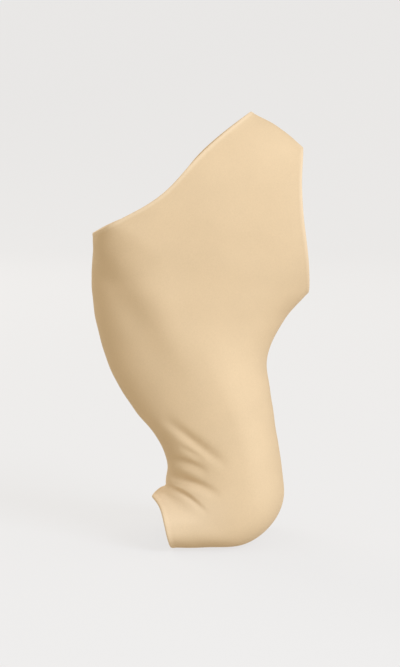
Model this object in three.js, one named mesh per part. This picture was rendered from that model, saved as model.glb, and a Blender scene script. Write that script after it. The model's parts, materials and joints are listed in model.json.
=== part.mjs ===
// Stretch-fabric sleeve for the instep, with a gel pad, in its worn shape with the heel raised.
// The sleeve is one tube of fabric, open at the ankle, the heel and the toes.
// The pad lies inside it on the instep.
//
// Millimetres, +Z up. The toe opening faces -X and the heel opening +X. -Y is the inner side.
// The origin is the middle of the ankle opening.
import * as THREE from "three";

// Fabric and gel
const FABRIC_WALL = 1.6;
const SEAT_GAP = 0.45;
const PAD_MIDDLE = 2.6;
const PAD_EDGE = 0.9;

// The sole is pressed flat at this height.
const FLOOR_Z = -183.8;

// Sections of the worn form, from the ankle edge to the toe edge.
// Each lies in a plane along Y, and runs from the instep (front) to the heel or sole (back).
//   frontX, frontZ, backX, backZ   the two ends of the section in the side view
//   inner, outer                   half widths towards -Y and +Y
//   innerAt, outerAt               where those are reached, as a share of the way from front to back
//   crest                          Y of the highest line of the instep
//   backPower                      roundness at the back: 2 is an ellipse, more is squarer
const SECTIONS = table(
  "frontX frontZ backX backZ inner outer innerAt outerAt crest backPower",
  [-38.8, -30.5, 40.0, 29.5, 27.4, 31.0, 0.14, 0.42, 0, 1.8], // ankle edge
  [-39.1, -34.0, 53.3, 22.4, 28.6, 31.8, 0.16, 0.42, 0, 1.9], // strap behind the ankle
  [-39.3, -37.5, 65.0, 12.5, 29.6, 32.5, 0.2, 0.42, 0, 2.0], // top of the heel opening
  [-39.5, -45.0, 86.5, -10.0, 30.6, 34.0, 0.26, 0.45, 0, 2.4], // back of the heel
  [-39.5, -52.5, 85.0, -34.0, 31.4, 34.5, 0.32, 0.48, 0, 2.4], // base of the heel
  [-39.2, -60.5, 69.3, -58.5, 32.1, 34.5, 0.37, 0.5, -1, 2.3], // foot of the heel opening
  [-37.3, -74.0, 56.6, -74.0, 32.7, 35.0, 0.48, 0.55, -2, 2.1], // upper instep
  [-33.4, -89.0, 48.1, -92.0, 34.2, 36.5, 0.6, 0.6, -4, 2.0], // arch
  [-27.1, -104.0, 49.6, -109.0, 36.0, 39.0, 0.67, 0.64, -7, 2.1], // middle
  [-17.7, -118.0, 52.5, -128.0, 39.0, 42.0, 0.69, 0.68, -10, 2.3], // lower instep
  [-7.5, -130.0, 55.4, -146.5, 42.0, 44.5, 0.64, 0.72, -14, 2.6], // above the ball
  [-1.7, -142.5, 56.4, -161.5, 44.4, 46.5, 0.57, 0.74, -17, 2.9], // crease
  [-2.2, -150.5, 50.6, -174.0, 46.0, 47.5, 0.53, 0.72, -19, 3.1], // ball
  [-3.4, -155.6, 37.2, -183.5, 46.2, 47.0, 0.5, 0.68, -20, 3.2], // below the crease
  [-6.3, -157.7, 18.0, -184.8, 46.6, 45.0, 0.47, 0.62, -22, 3.2], // toe band
  [-9.6, -159.0, 1.5, -184.8, 47.6, 42.5, 0.45, 0.58, -24, 3.2], // toe edge
);
const LAST_SECTION = SECTIONS.length - 1;

// Edge of the heel opening in the side view: an upright line with a slow sway.
const HEEL_EDGE = { x: 66.1, sway: 2.1, crossingZ: -33, period: 100 };
const HEEL_MIDDLE = 3.5;
const HEEL_BELOW = 7;
const HEEL_NARROWEST = 0.4;

// The ankle edge dips below its own section, a little more on the outer side.
// Depth is in sections, the rest in shares of the way round.
const INNER_DIP = { depth: 0.87, at: 0.395, spread: 0.21 };
const OUTER_DIP = { depth: 1.25, at: 0.35, spread: 0.2 };

// The toe edge lies further back towards the outer side, and on both flanks, in sections.
const TOE_SETBACK = { most: 1.4, fromY: -25, toY: 45, flanks: 0.7, at: 0.18, spread: 0.18, sections: 2 };

// Folds at the crease, as curves in the side view that start near the crest.
//   depth is the groove's, above and below its widths on either side, roll the height of the roll below it
const FOLDS = table(
  "fromX fromZ viaX viaZ toX toZ depth above below roll",
  [-4.5, -118.7, 12.6, -132.1, 28.1, -141.6, 1.7, 2.9, 2.2, 0.2], // long upper fold
  [3.7, -132.2, 11.7, -136.4, 17.0, -139.2, 0.7, 1.8, 1.6, 0.15],
  [-2.1, -140.1, 7.6, -139.0, 18.6, -144.8, 1.2, 1.7, 1.9, 0.6],
  [-0.4, -149.8, 7.3, -146.4, 24.6, -155.7, 1.9, 1.9, 2.1, 0.4],
  [-4.4, -154.7, 4.3, -150.4, 18.3, -164.5, 1.35, 1.6, 2.6, 0], // short fold at the toe band
);
// Place of a roll below its groove, and how far it reaches up and down from there
const ROLL = { at: 3.8, above: 1.6, below: 3.2 };

// Outline of the pad: its half width at a section, as a share of the way round from the crest to the back.
const PAD_OUTLINE = table(
  "place share",
  [2.5, 0.03],
  [2.75, 0.1],
  [3.6, 0.165],
  [4.8, 0.235],
  [6.0, 0.31],
  [7.1, 0.34],
  [8.0, 0.3],
  [8.6, 0.2],
  [8.8, 0.05],
);

// The fabric is drawn flat over the pad, beside a soft shoulder that runs down and round each flank.
// Shares are of the way round, places in sections, the rest in millimetres.
const SHOULDER = { rise: 1.0, at: 5.5, width: 10.5 };
const SHOULDER_LINE = { fromShare: 0.09, toShare: 0.455, fromPlace: 1.5, toPlace: 8.2 };
const FLAT = { depth: 0.6, at: -11, width: 9.5 };
const FLAT_BEGINS = [0.4, 2.4];
const FLAT_ENDS = [5.4, 8.4];
const HALF_GIRTH = 140;

// Facets
const COLUMNS = 48;
const FRONT_SPACING = 0.8;
const ROW_BANDS = { aboveHeel: 4, heel: 14, instep: 10, bend: 22, toes: 2 };
const BEND_FROM = 8.4;
const BEND_TO = 14.2;
const PAD_ROWS = 16;
const PAD_COLUMNS = 14;

// Steps of the working curves
const ARC_STEPS = 40;
const FOLD_STEPS = 60;
const HALVINGS = 40;
const NORMAL_STEP = 0.01;

const { clamp, lerp, smoothstep } = THREE.MathUtils;

// Rows of numbers as objects with the column names as keys.
function table(columns, ...rows) {
  const names = columns.split(" ");
  return rows.map((row) => Object.fromEntries(names.map((name, i) => [name, row[i]])));
}

// A smooth curve through a column of a table, at any place between two rows.
function smooth(rows, name, place) {
  const last = rows.length - 1;
  const t = clamp(place, 0, last);
  const i = Math.min(Math.floor(t), last - 1);
  const value = (k) => rows[k][name];
  const b = value(i);
  const c = value(i + 1);
  const a = i > 0 ? value(i - 1) : 2 * b - c;
  const d = i + 2 <= last ? value(i + 2) : 2 * c - b;
  const f = t - i;
  return b + 0.5 * f * (c - a + f * (2 * a - 5 * b + 4 * c - d + f * (3 * (b - c) + d - a)));
}

// A hill of height 1 at the middle, which dies away over the spread.
function hill(value, middle, spread) {
  return Math.exp(-(((value - middle) / spread) ** 2));
}

// Where a function changes sign between two values.
function crossing(value, from, to) {
  const plusAtEnd = value(to) > 0;
  for (let i = 0; i < HALVINGS; i++) {
    const middle = (from + to) / 2;
    if (value(middle) > 0 === plusAtEnd) to = middle;
    else from = middle;
  }
  return (from + to) / 2;
}

function sectionAt(place) {
  const names = Object.keys(SECTIONS[0]);
  return Object.fromEntries(names.map((name) => [name, smooth(SECTIONS, name, place)]));
}

// Half of a section as points from the crest of the instep round one side to the back.
function halfSection(place, side) {
  const s = sectionAt(place);
  const reach = side < 0 ? -s.inner : s.outer;
  const widest = side < 0 ? s.innerAt : s.outerAt;
  const points = [];
  const add = (share, y) => {
    points.push(new THREE.Vector3(lerp(s.frontX, s.backX, share), y, lerp(s.frontZ, s.backZ, share)));
  };
  for (let i = 0; i <= ARC_STEPS; i++) {
    const angle = (i / ARC_STEPS) * (Math.PI / 2);
    add(widest * (1 - Math.cos(angle)), lerp(s.crest, reach, Math.sin(angle)));
  }
  for (let i = 1; i <= ARC_STEPS; i++) {
    const angle = (i / ARC_STEPS) * (Math.PI / 2);
    const power = 2 / s.backPower;
    const across = i < ARC_STEPS ? Math.cos(angle) ** power : 0;
    add(lerp(widest, 1, Math.sin(angle) ** power), reach * across);
  }
  return points;
}

// The point a share of the way along a run of points, by length.
function alongPoints(points, share) {
  const lengths = [0];
  for (let i = 1; i < points.length; i++) {
    lengths.push(lengths[i - 1] + points[i].distanceTo(points[i - 1]));
  }
  const wanted = share * lengths.at(-1);
  let i = 1;
  while (i < points.length - 1 && lengths[i] < wanted) i++;
  const f = (wanted - lengths[i - 1]) / (lengths[i] - lengths[i - 1]);
  return points[i - 1].clone().lerp(points[i], f);
}

// The bare form. Round runs from -1 at the back, by the inner side, through 0 at the crest,
// and by the outer side to 1 at the back again.
function formPoint(round, place) {
  return alongPoints(halfSection(place, Math.sign(round)), Math.abs(round));
}

function formNormal(round, place) {
  const wrapped = (r) => formPoint(r > 1 ? r - 2 : r < -1 ? r + 2 : r, place);
  const across = wrapped(round + NORMAL_STEP).sub(wrapped(round - NORMAL_STEP));
  const ahead = Math.min(place + NORMAL_STEP, LAST_SECTION);
  const behind = Math.max(ahead - 2 * NORMAL_STEP, 0);
  const along = formPoint(round, ahead).sub(formPoint(round, behind));
  return across.cross(along).normalize();
}

// Height of the folds over the bare form, at a place in the side view.
function foldHeight(x, z) {
  let height = 0;
  for (const fold of FOLDS) {
    const curve = new THREE.QuadraticBezierCurve(
      new THREE.Vector2(fold.fromX, fold.fromZ),
      new THREE.Vector2(fold.viaX, fold.viaZ),
      new THREE.Vector2(fold.toX, fold.toZ),
    );
    let nearest = { distance: Infinity };
    for (let i = 0; i <= FOLD_STEPS; i++) {
      const share = i / FOLD_STEPS;
      const p = curve.getPoint(share);
      const distance = Math.hypot(x - p.x, z - p.y);
      if (distance < nearest.distance) nearest = { distance, share, below: p.y > z };
    }
    const offset = (nearest.below ? 1 : -1) * nearest.distance;
    const fade = Math.sin(Math.PI * nearest.share);
    const groove = hill(offset, 0, offset < 0 ? fold.above : fold.below);
    const bulge = hill(offset, ROLL.at, offset < ROLL.at ? ROLL.above : ROLL.below);
    height += fade * (fold.roll * bulge - fold.depth * groove);
  }
  return height;
}

// How far the fabric stands out at the shoulders, or lies flat between them.
function shoulderHeight(round, place) {
  const { fromShare, toShare, fromPlace, toPlace } = SHOULDER_LINE;
  const line = lerp(fromShare, toShare, smoothstep(place, fromPlace, toPlace));
  const beyond = (Math.abs(round) - line) * HALF_GIRTH;
  const here = smoothstep(place, ...FLAT_BEGINS) * (1 - smoothstep(place, ...FLAT_ENDS));
  const rise = SHOULDER.rise * hill(beyond, SHOULDER.at, SHOULDER.width);
  return here * (rise - FLAT.depth * hill(beyond, FLAT.at, FLAT.width));
}

// A point of the fabric, at a depth below its outer face.
function fabricPoint(round, place, depth) {
  const p = formPoint(round, place);
  const out = foldHeight(p.x, p.z) + shoulderHeight(round, place) - depth;
  p.addScaledVector(formNormal(round, place), out);
  p.z = Math.max(p.z, FLOOR_Z + depth);
  return p;
}

// How far a point of the form stands behind the edge of the heel opening.
function pastHeelEdge(round, place) {
  const p = formPoint(round, place);
  const turn = (2 * Math.PI * (p.z - HEEL_EDGE.crossingZ)) / HEEL_EDGE.period;
  return p.x - HEEL_EDGE.x + HEEL_EDGE.sway * Math.sin(turn);
}

const heelTop = crossing((place) => pastHeelEdge(1, place), 0, HEEL_MIDDLE);
const heelBottom = crossing((place) => pastHeelEdge(1, place), HEEL_MIDDLE, HEEL_BELOW);

// Where the heel opening cuts a row, as a share of the way round, or 1 where it doesn't.
function heelShare(place, side) {
  if (place <= heelTop || place >= heelBottom) return 1;
  return crossing((share) => pastHeelEdge(side * share, place), HEEL_NARROWEST, 1);
}

// Where a row crosses a column: rows near the two ends lean to follow the ankle edge and the toe edge.
function placeOn(row, round) {
  const side = round < 0 ? INNER_DIP : OUTER_DIP;
  const dip = side.depth * hill(Math.abs(round), side.at, side.spread);
  const nearAnkle = clamp(1 - row / heelTop, 0, 1);
  const outward = smoothstep(formPoint(round, row).y, TOE_SETBACK.fromY, TOE_SETBACK.toY);
  const flank = hill(Math.abs(round), TOE_SETBACK.at, TOE_SETBACK.spread);
  const setback = TOE_SETBACK.most * outward + TOE_SETBACK.flanks * flank;
  const nearToes = clamp(1 - (LAST_SECTION - row) / TOE_SETBACK.sections, 0, 1);
  return row + dip * nearAnkle - setback * nearToes;
}

// Rows of the sleeve, close together where the fabric bends and at the two ends of the heel opening.
function sleeveRows() {
  const rows = [];
  const even = (from, to, count) => {
    for (let i = 0; i < count; i++) rows.push(lerp(from, to, i / count));
  };
  even(0, heelTop, ROW_BANDS.aboveHeel);
  for (let i = 0; i < ROW_BANDS.heel; i++) {
    const share = (1 - Math.cos((Math.PI * i) / ROW_BANDS.heel)) / 2;
    rows.push(lerp(heelTop, heelBottom, share));
  }
  even(heelBottom, BEND_FROM, ROW_BANDS.instep);
  even(BEND_FROM, BEND_TO, ROW_BANDS.bend);
  even(BEND_TO, LAST_SECTION, ROW_BANDS.toes);
  return [...rows, LAST_SECTION];
}

// A closed shell from rows of outer and inner points.
// A closed row joins up with itself, and an open one has a rim at each end.
function shellGeometry(rows) {
  const positions = [];
  const triangles = [];
  const columns = rows[0].outer.length - 1;
  const index = rows.map((row) => {
    const used = row.closed ? columns : columns + 1;
    const start = positions.length / 3;
    for (const point of [...row.outer.slice(0, used), ...row.inner.slice(0, used)]) {
      positions.push(...point.toArray());
    }
    return { outer: (c) => start + (c % used), inner: (c) => start + used + (c % used) };
  });
  const point = (i) => new THREE.Vector3().fromArray(positions, 3 * i);
  const apart = (i, k) => point(i).distanceTo(point(k));
  // Four corners in turn, split along the shorter diagonal.
  const quad = (a, b, c, d) => {
    if (apart(a, c) <= apart(b, d)) triangles.push(a, b, c, a, c, d);
    else triangles.push(a, b, d, b, c, d);
  };
  for (let r = 0; r < rows.length - 1; r++) {
    const here = index[r];
    const next = index[r + 1];
    for (let c = 0; c < columns; c++) {
      quad(here.outer(c), here.outer(c + 1), next.outer(c + 1), next.outer(c));
      quad(here.inner(c + 1), here.inner(c), next.inner(c), next.inner(c + 1));
    }
    if (rows[r].closed && rows[r + 1].closed) continue;
    quad(here.outer(0), next.outer(0), next.inner(0), here.inner(0));
    quad(next.outer(columns), here.outer(columns), here.inner(columns), next.inner(columns));
  }
  const first = index[0];
  const last = index.at(-1);
  for (let c = 0; c < columns; c++) {
    quad(first.outer(c + 1), first.outer(c), first.inner(c), first.inner(c + 1));
    quad(last.outer(c), last.outer(c + 1), last.inner(c + 1), last.inner(c));
  }
  const geometry = new THREE.BufferGeometry();
  geometry.setAttribute("position", new THREE.Float32BufferAttribute(positions, 3));
  geometry.setIndex(triangles);
  geometry.computeVertexNormals();
  return geometry;
}

function sleeve() {
  const rows = sleeveRows().map((row) => {
    const cut = { inner: 1 - heelShare(row, -1), outer: 1 - heelShare(row, 1) };
    const made = { closed: cut.inner + cut.outer === 0, outer: [], inner: [] };
    for (let c = 0; c <= COLUMNS; c++) {
      const even = (2 * c) / COLUMNS - 1;
      const spaced = even * lerp(FRONT_SPACING, 1, even ** 2);
      const round = spaced - spaced * Math.abs(spaced) * (even < 0 ? cut.inner : cut.outer);
      const place = placeOn(row, round);
      made.outer.push(fabricPoint(round, place, 0));
      made.inner.push(fabricPoint(round, place, FABRIC_WALL));
    }
    return made;
  });
  const material = new THREE.MeshStandardMaterial({ color: 0xe6cda6, roughness: 0.85, metalness: 0 });
  const mesh = new THREE.Mesh(shellGeometry(rows), material);
  mesh.name = "sleeve";
  return mesh;
}

// The pad follows the inside of the fabric, and is thickest in its middle.
function gelPad() {
  const rows = [];
  const seat = FABRIC_WALL + SEAT_GAP;
  for (let r = 0; r <= PAD_ROWS; r++) {
    const end = (2 * r) / PAD_ROWS - 1;
    const outlineRow = ((PAD_OUTLINE.length - 1) * r) / PAD_ROWS;
    const place = smooth(PAD_OUTLINE, "place", outlineRow);
    const share = smooth(PAD_OUTLINE, "share", outlineRow);
    const made = { closed: false, outer: [], inner: [] };
    for (let c = 0; c <= PAD_COLUMNS; c++) {
      const across = (2 * c) / PAD_COLUMNS - 1;
      const crown = (1 - end ** 4) * (1 - across ** 4);
      const thickness = lerp(PAD_EDGE, PAD_MIDDLE, crown);
      made.outer.push(fabricPoint(across * share, place, seat));
      made.inner.push(fabricPoint(across * share, place, seat + thickness));
    }
    rows.push(made);
  }
  const material = new THREE.MeshStandardMaterial({ color: 0xefe6d2, roughness: 0.35, metalness: 0 });
  const mesh = new THREE.Mesh(shellGeometry(rows), material);
  mesh.name = "gel_pad";
  return mesh;
}

const group = new THREE.Group();
group.add(sleeve(), gelPad());
export default group;
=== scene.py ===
# Finished surfaces of the instep sleeve and its gel pad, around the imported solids.
import json
import math

import bpy
import numpy as np
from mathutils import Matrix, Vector
from mathutils.kdtree import KDTree


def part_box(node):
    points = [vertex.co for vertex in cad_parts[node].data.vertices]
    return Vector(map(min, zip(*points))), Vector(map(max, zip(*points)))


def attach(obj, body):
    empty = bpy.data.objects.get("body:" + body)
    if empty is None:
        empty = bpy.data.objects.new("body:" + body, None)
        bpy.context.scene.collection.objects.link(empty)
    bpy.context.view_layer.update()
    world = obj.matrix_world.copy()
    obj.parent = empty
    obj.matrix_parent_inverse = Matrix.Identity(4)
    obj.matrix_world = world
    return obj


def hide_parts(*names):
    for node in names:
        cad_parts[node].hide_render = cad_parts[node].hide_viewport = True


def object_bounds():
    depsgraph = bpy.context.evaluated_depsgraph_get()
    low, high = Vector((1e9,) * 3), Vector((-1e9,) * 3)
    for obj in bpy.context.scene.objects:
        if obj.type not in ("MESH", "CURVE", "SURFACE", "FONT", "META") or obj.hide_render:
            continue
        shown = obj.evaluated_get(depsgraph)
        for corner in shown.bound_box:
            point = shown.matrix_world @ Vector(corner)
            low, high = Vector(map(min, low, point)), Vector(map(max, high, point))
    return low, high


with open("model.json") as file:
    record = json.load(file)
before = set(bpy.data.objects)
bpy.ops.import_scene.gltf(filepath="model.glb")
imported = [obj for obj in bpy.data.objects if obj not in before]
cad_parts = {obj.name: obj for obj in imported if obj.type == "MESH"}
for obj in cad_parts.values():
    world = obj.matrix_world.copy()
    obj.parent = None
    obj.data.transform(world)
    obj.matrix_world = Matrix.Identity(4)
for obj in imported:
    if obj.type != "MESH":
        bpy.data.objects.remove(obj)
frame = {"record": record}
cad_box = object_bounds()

# Sizes are in millimetres, and meshes in metres. The toe opening faces -X, and -Y is the inner side.
MM = 0.001
FABRIC_WALL = 1.6
PAD_SEAT = 0.12
PAD_MIDDLE = 2.6
PAD_EDGE = 0.9
PAD_CROWN_POWER = 4
FLOOR_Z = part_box("sleeve")[0].z / MM


def table(columns, *rows):
    """Rows of numbers as one array for each named column."""
    return dict(zip(columns.split(), np.array(rows, float).T))


# Sections of the worn form, from the ankle edge to the toe edge, as in the solids.
SECTIONS = table(
    "front_x front_z back_x back_z inner outer inner_at outer_at crest back_power",
    [-38.8, -30.5, 40.0, 29.5, 27.4, 31.0, 0.14, 0.42, 0, 1.8],  # ankle edge
    [-39.1, -34.0, 53.3, 22.4, 28.6, 31.8, 0.16, 0.42, 0, 1.9],  # strap behind the ankle
    [-39.3, -37.5, 65.0, 12.5, 29.6, 32.5, 0.2, 0.42, 0, 2.0],  # top of the heel opening
    [-39.5, -45.0, 86.5, -10.0, 30.6, 34.0, 0.26, 0.45, 0, 2.4],  # back of the heel
    [-39.5, -52.5, 85.0, -34.0, 31.4, 34.5, 0.32, 0.48, 0, 2.4],  # base of the heel
    [-39.2, -60.5, 69.3, -58.5, 32.1, 34.5, 0.37, 0.5, -1, 2.3],  # foot of the heel opening
    [-37.3, -74.0, 56.6, -74.0, 32.7, 35.0, 0.48, 0.55, -2, 2.1],  # upper instep
    [-33.4, -89.0, 48.1, -92.0, 34.2, 36.5, 0.6, 0.6, -4, 2.0],  # arch
    [-27.1, -104.0, 49.6, -109.0, 36.0, 39.0, 0.67, 0.64, -7, 2.1],  # middle
    [-17.7, -118.0, 52.5, -128.0, 39.0, 42.0, 0.69, 0.68, -10, 2.3],  # lower instep
    [-7.5, -130.0, 55.4, -146.5, 42.0, 44.5, 0.64, 0.72, -14, 2.6],  # above the ball
    [-1.7, -142.5, 56.4, -161.5, 44.4, 46.5, 0.57, 0.74, -17, 2.9],  # crease
    [-2.2, -150.5, 50.6, -174.0, 46.0, 47.5, 0.53, 0.72, -19, 3.1],  # ball
    [-3.4, -155.6, 37.2, -183.5, 46.2, 47.0, 0.5, 0.68, -20, 3.2],  # below the crease
    [-6.3, -157.7, 18.0, -184.8, 46.6, 45.0, 0.47, 0.62, -22, 3.2],  # toe band
    [-9.6, -159.0, 1.5, -184.8, 47.6, 42.5, 0.45, 0.58, -24, 3.2],  # toe edge
)
LAST_SECTION = len(SECTIONS["crest"]) - 1

# Edge of the heel opening in the side view: an upright line with a slow sway.
HEEL_X, HEEL_SWAY, HEEL_CROSSING_Z, HEEL_PERIOD = 66.1, 2.1, -33, 100
HEEL_MIDDLE, HEEL_BELOW, HEEL_NARROWEST = 3.5, 7, 0.4

# Dip of the ankle edge on each side: depth in sections, then middle and spread in shares of the way round
INNER_DIP, OUTER_DIP = (0.87, 0.395, 0.21), (1.25, 0.35, 0.2)
# Setback of the toe edge, in sections
SETBACK, SETBACK_FROM_Y, SETBACK_TO_Y, SETBACK_SECTIONS = 1.4, -25, 45, 2
FLANK_SETBACK, FLANK_AT, FLANK_SPREAD = 0.7, 0.18, 0.18

# Folds at the crease, as curves in the side view that start near the crest.
FOLDS = (
    # from, via, to, depth, width above, width below, height of the roll below
    ((-4.5, -118.7), (12.6, -132.1), (28.1, -141.6), 1.7, 2.9, 2.2, 0.2),
    ((3.7, -132.2), (11.7, -136.4), (17.0, -139.2), 0.7, 1.8, 1.5, 0.15),
    ((-2.1, -140.1), (7.6, -139.0), (18.6, -144.8), 1.2, 1.7, 1.9, 0.6),
    ((-0.4, -149.8), (7.3, -146.4), (24.6, -155.7), 1.9, 1.9, 2.1, 0.4),
    ((-1.9, -153.0), (2.6, -150.6), (9.8, -153.1), 0.6, 1.3, 1.2, 0),
    ((-4.4, -154.7), (4.3, -150.4), (18.3, -164.5), 1.35, 1.0, 1.7, 0),
)
# Place of a roll below its groove, and how far it reaches up and down from there
ROLL_AT, ROLL_ABOVE, ROLL_BELOW = 3.8, 1.6, 3.2

# Outline of the pad: its half width at a section, as a share of the way round from the crest to the back.
PAD_OUTLINE = table(
    "place share",
    [2.5, 0.03],
    [2.75, 0.1],
    [3.6, 0.165],
    [4.8, 0.235],
    [6.0, 0.31],
    [7.1, 0.34],
    [8.0, 0.3],
    [8.6, 0.2],
    [8.8, 0.05],
)
# The fabric is drawn flat over the pad, beside a soft shoulder that runs down and round each flank.
SHOULDER_SHARES, SHOULDER_PLACES = (0.09, 0.455), (1.5, 8.2)
SHOULDER_RISE, SHOULDER_AT, SHOULDER_WIDTH = 1.0, 5.5, 10.5
FLAT_DEPTH, FLAT_AT, FLAT_WIDTH = 0.6, -11, 9.5
FLAT_BEGINS, FLAT_ENDS, HALF_GIRTH = (0.4, 2.4), (5.4, 8.4), 140

# Finished edges stand out a little, over a narrow band, and the same band is painted paler as a highlight
# where the edge catches light.
EDGE_RISE, EDGE_FLAT, EDGE_WIDTH = 0.22, 0.6, 2.0

# Painted highlight: the fabric is painted paler over the front of the crease and the toe band, in place of
# the light that falls there.
# Places are in sections, and shares are of the way round.
TOE_PAINTED_HIGHLIGHT, HIGHLIGHT_PLACES, HIGHLIGHT_SHARES = 1.0, (10.6, 12.8), (0.28, 0.55)

# Slow unevenness of the stretched fabric: height, wave length and slant of each wave
WAVES = ((0.1, 34, 0.4), (0.07, 21, 1.3), (0.05, 13, 2.2))

# Mesh density
COLUMNS = 216
FRONT_SPACING = 1.2
EDGE_EASE = 1.6
ROWS_ABOVE_HEEL, ROWS_HEEL, ROWS_INSTEP, ROWS_BEND, ROWS_TOES = 18, 54, 40, 84, 10
BEND_FROM, BEND_TO = 8.4, 14.2
PAD_ROWS = PAD_COLUMNS = 64
RIM_STEPS = 6
RIM_BULGE = 0.75
ARC_STEPS = 48
FOLD_STEPS = 160
NORMAL_STEP = 0.01
HALVINGS = 36
CHUNK = 6000

# The photograph's frame, and the camera that looks along +Y from a little above
PHOTO_WIDTH, PHOTO_HEIGHT = 400, 667
MM_PER_PIXEL = 0.5
ORIGIN_PIXEL = (171, 172)
CAMERA_DISTANCE = 1200
CAMERA_ELEVATION = 5
SENSOR = 36


def smooth(values, place):
    """A smooth curve through a row of numbers, at any place between two of them."""
    last = len(values) - 1
    t = np.clip(place, 0, last)
    i = np.minimum(np.floor(t).astype(int), last - 1)
    ends = 2 * values[0] - values[1], 2 * values[-1] - values[-2]
    longer = np.concatenate([ends[:1], values, ends[1:]])
    a, b, c, d = (longer[i + k] for k in range(4))
    f = t - i
    return b + 0.5 * f * (c - a + f * (2 * a - 5 * b + 4 * c - d + f * (3 * (b - c) + d - a)))


def smoothstep(value, low, high):
    t = np.clip((value - low) / (high - low), 0, 1)
    return t * t * (3 - 2 * t)


def hill(value, middle, spread):
    """A hill of height 1 at the middle, which dies away over the spread."""
    return np.exp(-(((value - middle) / spread) ** 2))


def crossing(value, low, high):
    """Where a function changes sign between two values, for arrays of them."""
    plus_at_end = value(high) > 0
    for _ in range(HALVINGS):
        middle = (low + high) / 2
        past = (value(middle) > 0) == plus_at_end
        low, high = np.where(past, low, middle), np.where(past, middle, high)
    return (low + high) / 2


def form_chunk(around, place):
    """Points of the bare form for two flat arrays."""
    s = {name: smooth(values, place)[:, None] for name, values in SECTIONS.items()}
    inner_side = (around < 0)[:, None]
    reach = np.where(inner_side, -s["inner"], s["outer"])
    widest = np.where(inner_side, s["inner_at"], s["outer_at"])
    angle = np.linspace(0, math.pi / 2, ARC_STEPS + 1)
    power = 2 / s["back_power"]
    back_cosine = np.cos(angle[1:]).clip(0)
    share = np.hstack([widest * (1 - np.cos(angle)), widest + (1 - widest) * np.sin(angle[1:]) ** power])
    y = np.hstack([s["crest"] + (reach - s["crest"]) * np.sin(angle), reach * back_cosine**power])
    x = s["front_x"] + (s["back_x"] - s["front_x"]) * share
    z = s["front_z"] + (s["back_z"] - s["front_z"]) * share
    points = np.stack([x, y, z], -1)
    steps = np.linalg.norm(np.diff(points, axis=1), axis=2)
    lengths = np.hstack([np.zeros((len(steps), 1)), np.cumsum(steps, axis=1)])
    wanted = np.abs(around) * lengths[:, -1]
    i = np.clip((lengths < wanted[:, None]).sum(1), 1, lengths.shape[1] - 1)
    row = np.arange(len(i))
    f = (wanted - lengths[row, i - 1]) / (lengths[row, i] - lengths[row, i - 1])
    found = points[row, i - 1] + f[:, None] * (points[row, i] - points[row, i - 1])
    return np.hstack([found, lengths[:, -1:]])


def form(around, place):
    """Points of the bare form, and the length of the half section that each lies on.
    around runs from -1 at the back by the inner side, through 0 at the crest, to 1 at the back again."""
    around, place = np.broadcast_arrays(np.asarray(around, float), np.asarray(place, float))
    parts = max(1, around.size // CHUNK)
    chunks = zip(np.array_split(around.ravel(), parts), np.array_split(place.ravel(), parts))
    found = np.concatenate([form_chunk(a, p) for a, p in chunks]).reshape(*around.shape, 4)
    return found[..., :3], found[..., 3]


def form_normals(around, place):
    def wrapped(a):
        return form(np.where(a > 1, a - 2, np.where(a < -1, a + 2, a)), place)[0]

    across = wrapped(around + NORMAL_STEP) - wrapped(around - NORMAL_STEP)
    ahead = np.minimum(place + NORMAL_STEP, LAST_SECTION)
    behind = np.maximum(ahead - 2 * NORMAL_STEP, 0)
    along = form(around, ahead)[0] - form(around, behind)[0]
    normals = np.cross(across, along)
    return normals / np.linalg.norm(normals, axis=-1, keepdims=True)


def fold_height(points):
    """Height of the folds over the bare form."""
    x, z = points[..., 0], points[..., 2]
    height = np.zeros_like(x)
    for start, via, end, depth, above, under, roll in FOLDS:
        nearest = np.full_like(x, np.inf)
        share = np.zeros_like(x)
        below = np.zeros_like(x)
        for t in np.linspace(0, 1, FOLD_STEPS + 1):
            weights = (1 - t) ** 2, 2 * t * (1 - t), t**2
            px, pz = (sum(w * p[k] for w, p in zip(weights, (start, via, end))) for k in range(2))
            distance = np.hypot(x - px, z - pz)
            closer = distance < nearest
            nearest = np.where(closer, distance, nearest)
            share = np.where(closer, t, share)
            below = np.where(closer, np.where(pz > z, 1, -1), below)
        offset = below * nearest
        fade = np.sin(math.pi * share)
        groove = hill(offset, 0, np.where(offset < 0, above, under))
        bulge = hill(offset, ROLL_AT, np.where(offset < ROLL_AT, ROLL_ABOVE, ROLL_BELOW))
        height += fade * (roll * bulge - depth * groove)
    return height


def shoulder(around, place):
    """How far the fabric stands out at the shoulders, or lies flat between them."""
    low, high = SHOULDER_SHARES
    line = low + (high - low) * smoothstep(place, *SHOULDER_PLACES)
    beyond = (np.abs(around) - line) * HALF_GIRTH
    here = smoothstep(place, *FLAT_BEGINS) * (1 - smoothstep(place, *FLAT_ENDS))
    rise = SHOULDER_RISE * hill(beyond, SHOULDER_AT, SHOULDER_WIDTH)
    return here * (rise - FLAT_DEPTH * hill(beyond, FLAT_AT, FLAT_WIDTH))


def unevenness(points):
    """Slow waves in the side view, each with its own slant."""
    x, z = points[..., 0], points[..., 2]
    return sum(h * np.sin(2 * math.pi * (x * math.cos(a) + z * math.sin(a)) / w) for h, w, a in WAVES)


def fabric_surface(around, place):
    """Points of the fabric's outer face, the way out at each, and the length of each half section."""
    bare, girth = form(around, place)
    normals = form_normals(around, place)
    out = fold_height(bare) + shoulder(around, place) + unevenness(bare)
    return bare + out[..., None] * normals, normals, girth


def sunk(points, normals, depth):
    """Points at a depth below a face, and as far above the floor."""
    lower = points - np.asarray(depth)[..., None] * normals
    lower[..., 2] = np.maximum(lower[..., 2], FLOOR_Z + depth)
    return lower


def past_heel_edge(around, place):
    """How far a point of the form stands behind the edge of the heel opening."""
    p = form(around, place)[0]
    turn = 2 * math.pi * (p[..., 2] - HEEL_CROSSING_Z) / HEEL_PERIOD
    return p[..., 0] - HEEL_X + HEEL_SWAY * np.sin(turn)


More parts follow.
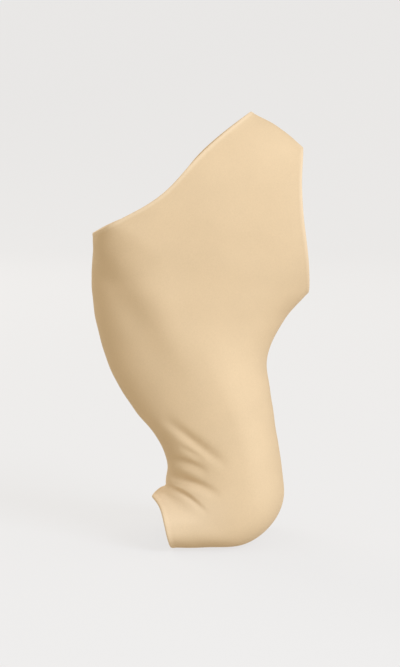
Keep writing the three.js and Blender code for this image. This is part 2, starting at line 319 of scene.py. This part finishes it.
HEEL_TOP = float(crossing(lambda p: past_heel_edge(1, p), 0, HEEL_MIDDLE))
HEEL_BOTTOM = float(crossing(lambda p: past_heel_edge(1, p), HEEL_MIDDLE, HEEL_BELOW))


def heel_cut(rows, side):
    """The share of each row that the heel opening takes off on one side."""
    cut = np.zeros_like(rows)
    opened = (rows > HEEL_TOP) & (rows < HEEL_BOTTOM)
    places = rows[opened]
    low = np.full_like(places, HEEL_NARROWEST)
    high = np.ones_like(places)
    cut[opened] = 1 - crossing(lambda share: past_heel_edge(side * share, places), low, high)
    return cut


def place_on(row, around):
    """Where a row crosses a column. Rows near the two ends lean to follow the ankle edge and the toe edge."""
    share = np.abs(around)
    inner, outer = (depth * hill(share, at, spread) for depth, at, spread in (INNER_DIP, OUTER_DIP))
    dip = np.where(around < 0, inner, outer)
    near_ankle = np.clip(1 - row / HEEL_TOP, 0, 1)
    outward = smoothstep(form(around, row)[0][..., 1], SETBACK_FROM_Y, SETBACK_TO_Y)
    flank = hill(share, FLANK_AT, FLANK_SPREAD)
    setback = SETBACK * outward + FLANK_SETBACK * flank
    near_toes = np.clip(1 - (LAST_SECTION - row) / SETBACK_SECTIONS, 0, 1)
    return row + dip * near_ankle - setback * near_toes


def sleeve_rows():
    """Rows of the sleeve, close together where the fabric bends and at its edges."""
    def spread(low, high, shares):
        return low + (high - low) * shares

    def even(count):
        return np.arange(count) / count

    return np.concatenate([
        spread(0, HEEL_TOP, even(ROWS_ABOVE_HEEL) ** EDGE_EASE),
        spread(HEEL_TOP, HEEL_BOTTOM, (1 - np.cos(math.pi * even(ROWS_HEEL))) / 2),
        spread(HEEL_BOTTOM, BEND_FROM, even(ROWS_INSTEP)),
        spread(BEND_FROM, BEND_TO, even(ROWS_BEND)),
        spread(BEND_TO, LAST_SECTION, 1 - (1 - even(ROWS_TOES)) ** EDGE_EASE),
        [LAST_SECTION],
    ])


def edge_loops(closed, columns):
    """The edges of a grid as loops of (row, column), each with its next neighbours inside the grid."""
    last = len(closed) - 1
    if not closed.any():
        loop = [(0, c) for c in range(columns)] + [(r, columns) for r in range(last)]
        loop += [(last, c) for c in range(columns, 0, -1)] + [(r, 0) for r in range(last, 0, -1)]
        inside = [(min(max(r, 1), last - 1), min(max(c, 1), columns - 1)) for r, c in loop]
        return [(loop, inside)]
    loops = [([(r, c) for c in range(columns)], [(near, c) for c in range(columns)])
             for r, near in ((0, 1), (last, last - 1))]
    opened = np.flatnonzero(~closed)
    top, bottom = opened[0] - 1, opened[-1] + 1
    loop = [(r, 0) for r in range(top, bottom + 1)] + [(r, columns) for r in range(bottom - 1, top, -1)]
    inside = [(top - 1, 0)] + [(r, 1) for r in opened] + [(bottom + 1, 0)]
    inside += [(r, columns - 1) for r in opened[::-1]]
    return loops + [(loop, inside)]


def rim(points, outer, inner, inside):
    """Points of a rounded edge between two loops of points, and its faces as rows of places along them."""
    middle = (points[outer] + points[inner]) / 2
    half = (points[outer] - points[inner]) / 2
    along = np.roll(middle, -1, 0) - np.roll(middle, 1, 0)
    out = np.cross(along, half)
    out /= np.linalg.norm(out, axis=1, keepdims=True)
    away = np.sign(np.sum(out * (middle - points[inside])))
    reach = away * RIM_BULGE * np.linalg.norm(half, axis=1, keepdims=True) * out
    turns = np.linspace(0, math.pi, RIM_STEPS + 1)[1:-1]
    rings = [middle + math.cos(t) * half + math.sin(t) * reach for t in turns]
    new = len(points) + np.arange(len(rings) * len(outer)).reshape(len(rings), -1)
    ids = np.vstack([outer, new, inner])
    ahead = np.roll(ids, -1, 1)
    quads = np.stack([ids[:-1], ids[1:], ahead[1:], ahead[:-1]], -1).reshape(-1, 4)
    return np.concatenate(rings), quads if away > 0 else quads[:, ::-1]


def grid_faces(ids):
    """The faces of a grid of point numbers, each as four corners in turn."""
    return np.stack([ids[:-1, :-1], ids[:-1, 1:], ids[1:, 1:], ids[1:, :-1]], -1).reshape(-1, 4)


def shell(name, outer, inner, closed, cloth):
    """A closed shell with rounded edges, from grids of outer and inner points.
    A closed row joins up with itself. The inner face has the second material.
    cloth holds three values at each point, for the materials to read."""
    rows, columns = outer.shape[0] - 1, outer.shape[1] - 1
    top = np.arange(outer[..., 0].size).reshape(rows + 1, columns + 1)
    top[closed, -1] = top[closed, 0]
    under = top + top.size
    points = np.concatenate([outer.reshape(-1, 3), inner.reshape(-1, 3)])
    values = np.concatenate([cloth.reshape(-1, 3)] * 2)
    faces = [grid_faces(top)]
    for loop, inside in edge_loops(closed, columns):
        edge = top[tuple(np.transpose(loop))]
        new, quads = rim(points, edge, edge + top.size, top[tuple(np.transpose(inside))])
        points = np.concatenate([points, new])
        values = np.concatenate([values, np.tile(values[edge], (RIM_STEPS - 1, 1))])
        faces.append(quads)
    outside = sum(len(f) for f in faces)
    turned_over = [1, 0, 3, 2]
    faces.append(grid_faces(under)[:, turned_over])
    faces = np.concatenate(faces)
    used, faces = np.unique(faces, return_inverse=True)
    faces = faces.reshape(-1, 4)
    mesh = bpy.data.meshes.new(name)
    mesh.from_pydata((points[used] * MM).tolist(), [], faces.tolist())
    mesh.polygons.foreach_set("material_index", (np.arange(len(faces)) >= outside).astype(np.int32))
    mesh.polygons.foreach_set("use_smooth", np.ones(len(faces), bool))
    mesh.attributes.new("cloth", "FLOAT_VECTOR", "POINT").data.foreach_set("vector", values[used].ravel())
    mesh.update()
    piece = bpy.data.objects.new(name, mesh)
    bpy.context.scene.collection.objects.link(piece)
    return piece


def closeness(points, closed):
    """How close each point of a grid is to an edge: 1 at the edge, 0 a little way in."""
    edge = [points[place] for loop, _ in edge_loops(closed, points.shape[1] - 1) for place in loop]
    tree = KDTree(len(edge))
    for i, point in enumerate(edge):
        tree.insert(point, i)
    tree.balance()
    distance = np.array([tree.find(point)[2] for point in points.reshape(-1, 3)])
    return 1 - smoothstep(distance.reshape(points.shape[:2]), EDGE_FLAT, EDGE_WIDTH)


def flat_places(around, girth, points):
    """The place of each point on the flat fabric, in millimetres.
    It is measured round from the crest, and down from the top row."""
    steps = np.linalg.norm(np.diff(points, axis=0), axis=2)
    down = np.vstack([np.zeros((1, points.shape[1])), np.cumsum(steps, axis=0)])
    return np.stack([around * girth, down], -1)


def make_sleeve():
    rows = sleeve_rows()
    even = np.linspace(-1, 1, COLUMNS + 1)
    spaced = even * (FRONT_SPACING + (1 - FRONT_SPACING) * even**2)
    cut = np.where(even < 0, heel_cut(rows, -1)[:, None], heel_cut(rows, 1)[:, None])
    closed = ~cut.any(axis=1)
    around = spaced - spaced * np.abs(spaced) * cut
    place = place_on(np.repeat(rows[:, None], COLUMNS + 1, 1), around)
    face, normals, girth = fabric_surface(around, place)
    close = closeness(face, closed)
    outer = sunk(face, normals, -EDGE_RISE * close)
    inner = sunk(face, normals, FABRIC_WALL)
    outer[..., 2] = np.maximum(outer[..., 2], FLOOR_Z)
    # Painted highlight over the front of the crease and the toe band, joined with the painted highlight along
    # the edges
    toe_highlight = smoothstep(place, *HIGHLIGHT_PLACES) * (1 - smoothstep(np.abs(around), *HIGHLIGHT_SHARES))
    pale = np.maximum(close, TOE_PAINTED_HIGHLIGHT * toe_highlight)
    cloth = np.concatenate([flat_places(around, girth, face), pale[..., None]], -1)
    return shell("sleeve_fabric", outer, inner, closed, cloth)


def make_pad():
    rows = np.linspace(0, len(PAD_OUTLINE["place"]) - 1, PAD_ROWS + 1)[:, None]
    across = np.linspace(-1, 1, PAD_COLUMNS + 1)
    end = np.linspace(-1, 1, PAD_ROWS + 1)[:, None]
    around = across * smooth(PAD_OUTLINE["share"], rows)
    place = np.repeat(smooth(PAD_OUTLINE["place"], rows), PAD_COLUMNS + 1, 1)
    face, normals, _ = fabric_surface(around, place)
    seat = FABRIC_WALL + PAD_SEAT
    crown = (1 - end**PAD_CROWN_POWER) * (1 - across**PAD_CROWN_POWER)
    thickness = PAD_EDGE + (PAD_MIDDLE - PAD_EDGE) * crown
    outer = sunk(face, normals, seat)
    inner = sunk(face, normals, seat + thickness)
    return shell("instep_gel", outer, inner, np.zeros(PAD_ROWS + 1, bool), np.zeros_like(face))


# Materials
SLOT_COLOUR = {m["slot"]: m["base_color"][:3] for m in frame["record"]["materials"]}
FABRIC_COLOUR = (0.66, 0.505, 0.325)
# Colour of the painted highlight along the edges and over the toe band
PAINTED_HIGHLIGHT_COLOUR = (0.72, 0.565, 0.385)
LINING_COLOUR = (0.72, 0.58, 0.41)
# Width and height of a knitted loop in millimetres, its depth in metres, and how much it changes the shade
WALE, COURSE, LOOP_DEPTH, LOOP_SHADE = 0.62, 0.5, 0.00012, (0.97, 1.03)
# The two faces of the fabric: name, colour, roughness, sheen and strength of the knit
FABRIC_FACES = (
    ("fabric", FABRIC_COLOUR, 0.82, 0.08, 0.35),
    ("lining", LINING_COLOUR, 0.9, 0.45, 0.5),
)
SHEEN_TINT, SHEEN_ROUGHNESS, FABRIC_SPECULAR = (1.0, 0.93, 0.84, 1), 0.45, 0.25
ROUGHNESS_WAVES, ROUGHNESS_CHANGE = 300, 0.06
NOISE_DETAIL = 3
# Unevenness of shade and roughness: waves for each metre, detail, lowest and highest value
MOTTLE, SPECKLE = (55, NOISE_DETAIL, 0.95, 1.05), (1400, 1, 0.955, 1.045)
GEL_MOTTLE, GEL_ROUGHNESS = (90, NOISE_DETAIL, 0.96, 1.04), (260, NOISE_DETAIL, 0.28, 0.4)
# Light that enters the gel, and the relief left by its mould: waves for each metre, depth in metres, strength
GEL_SCATTER, GEL_SCATTER_RADIUS, GEL_SCATTER_SCALE = 0.35, (1.0, 0.7, 0.5), 0.003
MOULD_WAVES, MOULD_DEPTH, MOULD_STRENGTH = 380, 0.0002, 0.25


def new_material(name):
    material = bpy.data.materials.new(name)
    material.use_nodes = True
    tree = material.node_tree
    return material, tree, tree.nodes["Principled BSDF"]


def calculate(tree, operation, *values):
    """A Math node whose inputs are numbers or other nodes' outputs."""
    node = tree.nodes.new("ShaderNodeMath")
    node.operation = operation
    for socket, value in zip(node.inputs, values):
        if isinstance(value, bpy.types.NodeSocket):
            tree.links.new(value, socket)
        else:
            socket.default_value = value
    return node.outputs[0]


def noise(tree, scale, detail=NOISE_DETAIL):
    """Noise by the place in the object, with a scale in waves for each metre."""
    place = tree.nodes.new("ShaderNodeTexCoord")
    node = tree.nodes.new("ShaderNodeTexNoise")
    node.inputs["Scale"].default_value = scale
    node.inputs["Detail"].default_value = detail
    tree.links.new(place.outputs["Object"], node.inputs["Vector"])
    return node.outputs["Fac"]


def vary(tree, value, low, high):
    """A 0 to 1 value spread between two others."""
    return calculate(tree, "MULTIPLY_ADD", value, high - low, low)


def uneven(tree, scale, detail, low, high):
    """Noise spread between two values."""
    return vary(tree, noise(tree, scale, detail), low, high)


def cloth_values(tree):
    """Place round and down the flat fabric, in millimetres, and how much painted highlight it has, from 0 to
    1.
    """
    cloth = tree.nodes.new("ShaderNodeAttribute")
    cloth.attribute_name = "cloth"
    split = tree.nodes.new("ShaderNodeSeparateXYZ")
    tree.links.new(cloth.outputs["Vector"], split.inputs[0])
    return split.outputs


def knit_height(tree, round_place, down_place):
    """Fine stocking stitch: rows of small slanted loops, from 0 to 1."""
    wale = calculate(tree, "MULTIPLY", round_place, 1 / WALE)
    course = calculate(tree, "MULTIPLY", down_place, 1 / COURSE)
    slant = calculate(tree, "PINGPONG", wale, 0.5)
    leaning = calculate(tree, "ADD", course, slant)
    loops = calculate(tree, "SINE", calculate(tree, "MULTIPLY", leaning, 2 * math.pi))
    ribs = calculate(tree, "COSINE", calculate(tree, "MULTIPLY", wale, 4 * math.pi))
    both = calculate(tree, "MULTIPLY_ADD", loops, 0.25, calculate(tree, "MULTIPLY", ribs, 0.25))
    return calculate(tree, "ADD", both, 0.5)


def bump(tree, shader, height, distance, strength):
    node = tree.nodes.new("ShaderNodeBump")
    node.inputs["Distance"].default_value = distance
    node.inputs["Strength"].default_value = strength
    tree.links.new(height, node.inputs["Height"])
    tree.links.new(node.outputs["Normal"], shader.inputs["Normal"])


def blend(tree, share, first, second):
    """A colour between two others, by a share from 0 to 1."""
    node = tree.nodes.new("ShaderNodeMix")
    node.data_type = "RGBA"
    tree.links.new(share, node.inputs["Factor"])
    for name, colour in (("A", first), ("B", second)):
        socket = next(s for s in node.inputs if s.name == name and s.type == "RGBA")
        socket.default_value = (*colour, 1)
    return next(s for s in node.outputs if s.type == "RGBA")


def shade_by(tree, shader, colour, factor):
    """The base colour from a colour times a grey factor."""
    node = tree.nodes.new("ShaderNodeVectorMath")
    node.operation = "SCALE"
    if isinstance(colour, bpy.types.NodeSocket):
        tree.links.new(colour, node.inputs[0])
    else:
        node.inputs[0].default_value = colour
    tree.links.new(factor, node.inputs["Scale"])
    tree.links.new(node.outputs[0], shader.inputs["Base Color"])


def fabric_material(name, colour, roughness, sheen, knit):
    """Fine knitted stretch fabric: a soft matt face with a little sheen, small loops, and a painted highlight
    along the edges and over the toe band.
    """
    material, tree, shader = new_material(name)
    round_place, down_place, pale = cloth_values(tree)
    loops = knit_height(tree, round_place, down_place)
    shade = calculate(tree, "MULTIPLY", uneven(tree, *MOTTLE), uneven(tree, *SPECKLE))
    shade = calculate(tree, "MULTIPLY", shade, vary(tree, loops, *LOOP_SHADE))
    # Painted highlight: the base colour turns towards the highlight colour by the cloth's third value
    shade_by(tree, shader, blend(tree, pale, colour, PAINTED_HIGHLIGHT_COLOUR), shade)
    low, high = roughness - ROUGHNESS_CHANGE, roughness + ROUGHNESS_CHANGE
    tree.links.new(uneven(tree, ROUGHNESS_WAVES, NOISE_DETAIL, low, high), shader.inputs["Roughness"])
    shader.inputs["Sheen Weight"].default_value = sheen
    shader.inputs["Sheen Roughness"].default_value = SHEEN_ROUGHNESS
    shader.inputs["Sheen Tint"].default_value = SHEEN_TINT
    shader.inputs["Specular IOR Level"].default_value = FABRIC_SPECULAR
    bump(tree, shader, loops, LOOP_DEPTH, knit)
    return material


def gel_material():
    """Soft milky gel, with a satin face and a slight unevenness from its mould."""
    material, tree, shader = new_material("gel")
    shade_by(tree, shader, SLOT_COLOUR["gel"], uneven(tree, *GEL_MOTTLE))
    tree.links.new(uneven(tree, *GEL_ROUGHNESS), shader.inputs["Roughness"])
    shader.inputs["Subsurface Weight"].default_value = GEL_SCATTER
    shader.inputs["Subsurface Radius"].default_value = GEL_SCATTER_RADIUS
    shader.inputs["Subsurface Scale"].default_value = GEL_SCATTER_SCALE
    bump(tree, shader, noise(tree, MOULD_WAVES), MOULD_DEPTH, MOULD_STRENGTH)
    return material


# Stage, in metres
BACKDROP_RADIUS, BACKDROP_BEND, BACKDROP_HEIGHT = 2.6, 1.2, 3.2
BACKDROP_STEPS, BACKDROP_SIDES, FLOOR_GAP = 16, 64, 0.0002
GLOW_SEEN, GLOW_CAST = 0.7, 0.58
BACKDROP_GREY = 0.14
PALE, WARM = (1.0, 0.995, 1.0), (1.0, 0.89, 0.71)
WORLD_STRENGTH = 0.74
LIGHTS = (
    # name, place, power, size, colour
    ("key", (1.47, -1.75, 0.95), 54, 1.2, (0.77, 0.86, 1.0)),
    ("fill", (-1.1, 2.0, 1.3), 22, 1.5, (1.0, 0.96, 0.9)),
)


def make_backdrop():
    """A round floor that turns up into a wall, in one plain pale grey."""
    sides = BACKDROP_SIDES
    profile = [(BACKDROP_RADIUS / 2, 0)]
    for i in range(BACKDROP_STEPS + 1):
        angle = math.pi / 2 * i / BACKDROP_STEPS
        radius = BACKDROP_RADIUS + BACKDROP_BEND * math.sin(angle)
        profile.append((radius, BACKDROP_BEND * (1 - math.cos(angle))))
    profile.append((BACKDROP_RADIUS + BACKDROP_BEND, BACKDROP_HEIGHT))
    turns = [2 * math.pi * k / sides for k in range(sides)]
    points = [(r * math.cos(turn), r * math.sin(turn), z) for r, z in profile for turn in turns]
    points.append((0, 0, 0))
    faces = [(len(points) - 1, k, (k + 1) % sides) for k in range(sides)]
    for ring in range(len(profile) - 1):
        for k in range(sides):
            low, high = ring * sides, (ring + 1) * sides
            faces.append((low + k, high + k, high + (k + 1) % sides, low + (k + 1) % sides))
    mesh = bpy.data.meshes.new("backdrop")
    mesh.from_pydata(points, [], faces)
    mesh.polygons.foreach_set("use_smooth", np.ones(len(faces), bool))
    backdrop = bpy.data.objects.new("backdrop", mesh)
    backdrop.location.z = FLOOR_Z * MM - FLOOR_GAP
    bpy.context.scene.collection.objects.link(backdrop)
    material, tree, shader = new_material("backdrop")
    shader.inputs["Base Color"].default_value = (BACKDROP_GREY, BACKDROP_GREY, BACKDROP_GREY, 1)
    shader.inputs["Roughness"].default_value = 1.0
    shader.inputs["Specular IOR Level"].default_value = 0.0
    seen = tree.nodes.new("ShaderNodeLightPath").outputs["Is Camera Ray"]
    tree.links.new(blend(tree, seen, WARM, PALE), shader.inputs["Emission Color"])
    tree.links.new(vary(tree, seen, GLOW_CAST, GLOW_SEEN), shader.inputs["Emission Strength"])
    mesh.materials.append(material)


def make_light(name, place, power, size, colour):
    """A square soft light that faces the middle of the object."""
    data = bpy.data.lights.new(name, "AREA")
    data.energy = power
    data.size = size
    data.color = colour
    light = bpy.data.objects.new(name, data)
    light.location = place
    middle = (cad_box[0] + cad_box[1]) / 2
    light.rotation_euler = (middle - Vector(place)).to_track_quat("-Z", "Y").to_euler()
    bpy.context.scene.collection.objects.link(light)


def make_camera():
    data = bpy.data.cameras.new("camera")
    data.sensor_width = SENSOR
    data.lens = SENSOR * CAMERA_DISTANCE / (PHOTO_HEIGHT * MM_PER_PIXEL)
    camera = bpy.data.objects.new("camera", data)
    tilt = math.radians(CAMERA_ELEVATION)
    target = Vector((
        (PHOTO_WIDTH / 2 - ORIGIN_PIXEL[0]) * MM_PER_PIXEL,
        0,
        (ORIGIN_PIXEL[1] - PHOTO_HEIGHT / 2) * MM_PER_PIXEL,
    )) * MM
    back = Vector((0, -math.cos(tilt), math.sin(tilt)))
    camera.location = target + back * CAMERA_DISTANCE * MM
    camera.rotation_euler = (-back).to_track_quat("-Z", "Y").to_euler()
    bpy.context.scene.collection.objects.link(camera)
    bpy.context.scene.camera = camera


def make_world():
    world = bpy.data.worlds.new("world")
    world.use_nodes = True
    world.node_tree.nodes["Background"].inputs["Color"].default_value = (*WARM, 1)
    world.node_tree.nodes["Background"].inputs["Strength"].default_value = WORLD_STRENGTH
    bpy.context.scene.world = world
    bpy.context.scene.view_settings.view_transform = "Standard"


sleeve = make_sleeve()
for fabric_face in FABRIC_FACES:
    sleeve.data.materials.append(fabric_material(*fabric_face))
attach(sleeve, "root")
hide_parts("sleeve")

pad = make_pad()
gel = gel_material()
pad.data.materials.append(gel)
pad.data.materials.append(gel)
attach(pad, "root")
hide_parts("gel_pad")

make_backdrop()
make_world()
for light in LIGHTS:
    make_light(*light)
make_camera()
